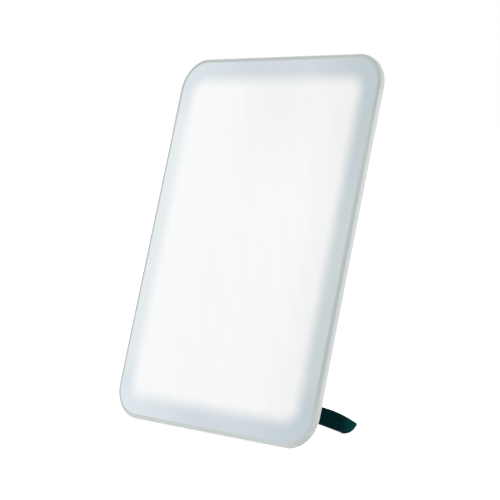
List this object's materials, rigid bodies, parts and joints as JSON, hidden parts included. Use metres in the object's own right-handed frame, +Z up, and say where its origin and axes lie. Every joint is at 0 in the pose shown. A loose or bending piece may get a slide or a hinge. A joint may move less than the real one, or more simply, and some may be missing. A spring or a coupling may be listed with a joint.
{
  "type": "light therapy lamp",
  "caption": "Slim edge-lit light therapy panel with rounded corners, leaning back on short legs that fold into its back.",
  "frame": {"origin": "on the table, under the middle of the whole lamp's bounding box, legs open", "axes": "+Z up, +Y from the lit front to the back, +X to the right of someone who faces the lit front"},
  "size_m": [0.222, 0.1054, 0.3033],
  "materials": {
    "lit_cover": "smooth translucent white, lit from behind",
    "case_plastic": "fine satin",
    "leg_plastic": "fine satin",
    "rubber": "matte",
    "clear_silicone": "clear, satin",
    "frame_plastic": "matte",
    "optical_film": "satin film",
    "light_guide": "clear acrylic",
    "aluminium": "mill finish",
    "strip_board": "white solder mask",
    "wire_sleeve": "satin",
    "circuit_board": "solder mask",
    "ferrite": "matte",
    "can_sleeve": "gloss",
    "black_resin": "matte",
    "connector_nylon": "matte",
    "steel": "zinc plated",
    "brass": "turned",
    "button_plastic": "fine satin"
  },
  "bodies": {
    "panel": {"front_cover": "lit_cover", "rear_case": "case_plastic", "leg_well_left": "case_plastic", "leg_well_right": "case_plastic", "bumper_left": "clear_silicone", "bumper_right": "clear_silicone", "mid_frame": "frame_plastic", "diffuser_sheet": "optical_film", "prism_sheet": "optical_film", "reflector_sheet": "optical_film", "light_guide": "light_guide", "backplate": "aluminium", "led_strip_left": "strip_board", "led_strip_right": "strip_board", "led_lead_left": "wire_sleeve", "led_lead_right": "wire_sleeve", "driver_board": "circuit_board", "driver_inductor": "ferrite", "smoothing_capacitor_1": "can_sleeve", "smoothing_capacitor_2": "can_sleeve", "driver_chip": "black_resin", "dc_jack": "black_resin", "tact_switch": "black_resin", "led_connector_left": "connector_nylon", "led_connector_right": "connector_nylon", "hinge_pin_left": "steel", "hinge_pin_right": "steel", "dc_jack_pin": "steel", "case_screw_1": "steel", "case_screw_2": "steel", "case_screw_3": "steel", "case_screw_4": "steel", "case_screw_5": "steel", "case_screw_6": "steel", "board_screw_1": "steel", "board_screw_2": "steel", "board_screw_3": "steel", "board_screw_4": "steel", "backplate_screw_1": "steel", "backplate_screw_2": "steel", "backplate_screw_3": "steel", "backplate_screw_4": "steel", "hinge_spacer_left": "brass", "hinge_spacer_right": "brass", "hinge_washer_left": "brass", "hinge_washer_right": "brass", "case_standoff_1": "brass", "case_standoff_2": "brass", "case_standoff_3": "brass", "case_standoff_4": "brass", "case_standoff_5": "brass", "case_standoff_6": "brass"},
    "leg_left": {"leg_left": "leg_plastic", "leg_pad_left": "rubber"},
    "leg_right": {"leg_right": "leg_plastic", "leg_pad_right": "rubber"},
    "button": {"power_button": "button_plastic", "switch_plunger": "black_resin"}
  },
  "joints": [
    {"name": "leg_right_hinge", "type": "hinge", "parent": "panel", "child": "leg_right", "pos_m": [0.0785, -0.02946, 0.02787], "axis": [0, 0.2865, 0.9581], "range_deg": [0, 90]},
    {"name": "leg_left_hinge", "type": "hinge", "parent": "panel", "child": "leg_left", "pos_m": [-0.0785, -0.02946, 0.02787], "axis": [0, -0.2865, -0.9581], "range_deg": [0, 90]},
    {"name": "button_press", "type": "slide", "parent": "panel", "child": "button", "axis": [0, -0.9581, 0.2865], "range_m": [0, 0.0007], "stiffness_N_per_m": 2000}
  ]
}
